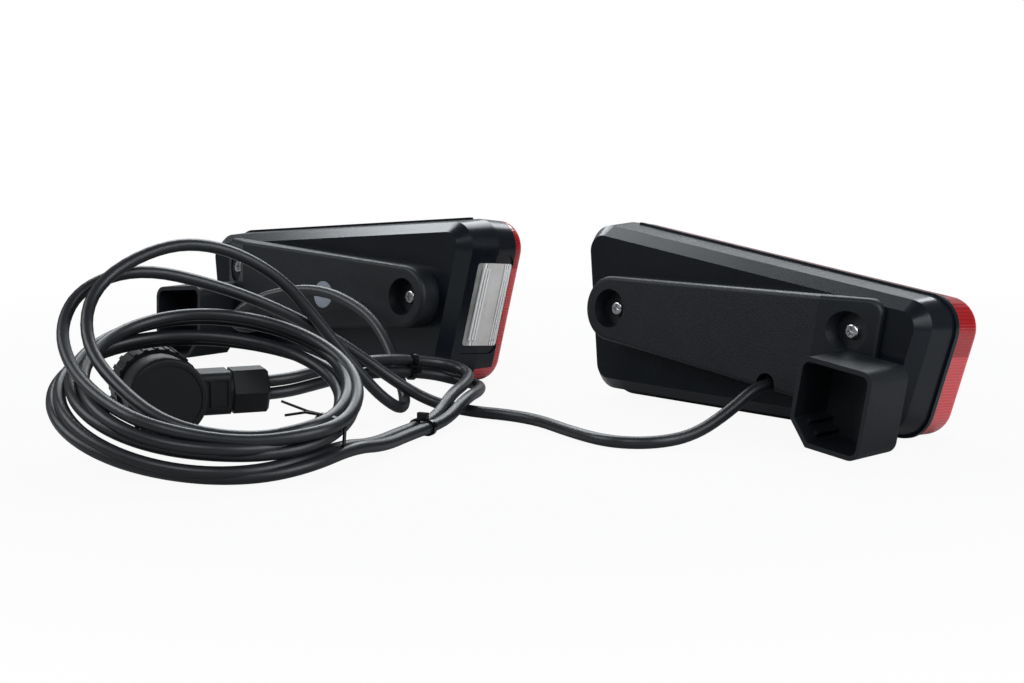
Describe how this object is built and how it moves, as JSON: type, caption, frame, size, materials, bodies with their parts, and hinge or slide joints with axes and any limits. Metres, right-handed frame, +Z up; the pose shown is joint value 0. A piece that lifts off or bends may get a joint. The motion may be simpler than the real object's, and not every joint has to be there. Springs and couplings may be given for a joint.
{
  "type": "bicycle carrier light set",
  "caption": "Rear light set for a bicycle carrier: mirrored lamps with plate-light windows on push-on socket brackets, joined by a coiled harness with an angled trailer plug.",
  "frame": {"origin": "on the table, under the middle of the two lamps' box", "axes": "+X along the row of lamps towards the vehicle-left lamp, +Y towards the lenses, +Z up"},
  "size_m": [0.558, 0.4132, 0.1099],
  "materials": {
    "housing_plastic": "satin black, smooth",
    "bracket_plastic": "fine-grained black",
    "red_lens": "red translucent with fine ribs",
    "clear_window": "clear with ridges",
    "seal_rubber": "soft black",
    "board": "green laminate",
    "diodes": "pale yellow",
    "reflector": "metallised",
    "screw_steel": "bright zinc",
    "sticker": "grey-blue film",
    "plug_plastic": "matte black",
    "pin_brass": "plain",
    "cable": "satin black sheath",
    "tie_plastic": "glossy black"
  },
  "bodies": {
    "light_set": {"coil": "cable", "gland_nut": "plug_plastic", "gland_seal": "seal_rubber", "left_bracket": "bracket_plastic", "left_bracket_screws": "screw_steel", "left_circuit_board": "board", "left_grommet": "seal_rubber", "left_housing": "housing_plastic", "left_lead": "cable", "left_leds": "diodes", "left_lens": "red_lens", "left_plate_light": "board", "left_plate_window": "clear_window", "left_reflector": "reflector", "left_seal": "seal_rubber", "left_tail": "cable", "lower_tie": "tie_plastic", "plug_body": "plug_plastic", "plug_cap": "plug_plastic", "plug_insert": "plug_plastic", "plug_pins": "pin_brass", "right_bracket": "bracket_plastic", "right_bracket_screws": "screw_steel", "right_circuit_board": "board", "right_grommet": "seal_rubber", "right_housing": "housing_plastic", "right_lead": "cable", "right_leds": "diodes", "right_lens": "red_lens", "right_plate_light": "board", "right_plate_window": "clear_window", "right_reflector": "reflector", "right_seal": "seal_rubber", "right_sticker": "sticker", "right_tail": "cable", "upper_tie": "tie_plastic", "wire_tie": "tie_plastic"},
    "collar": {"plug_collar": "plug_plastic"}
  },
  "joints": [
    {"name": "collar_turn", "type": "hinge", "parent": "light_set", "child": "collar", "pos_m": [-0.06216, -0.23067, 0.0238], "axis": [-0.9063, 0.4226, 0], "range_deg": [0, 90]}
  ]
}
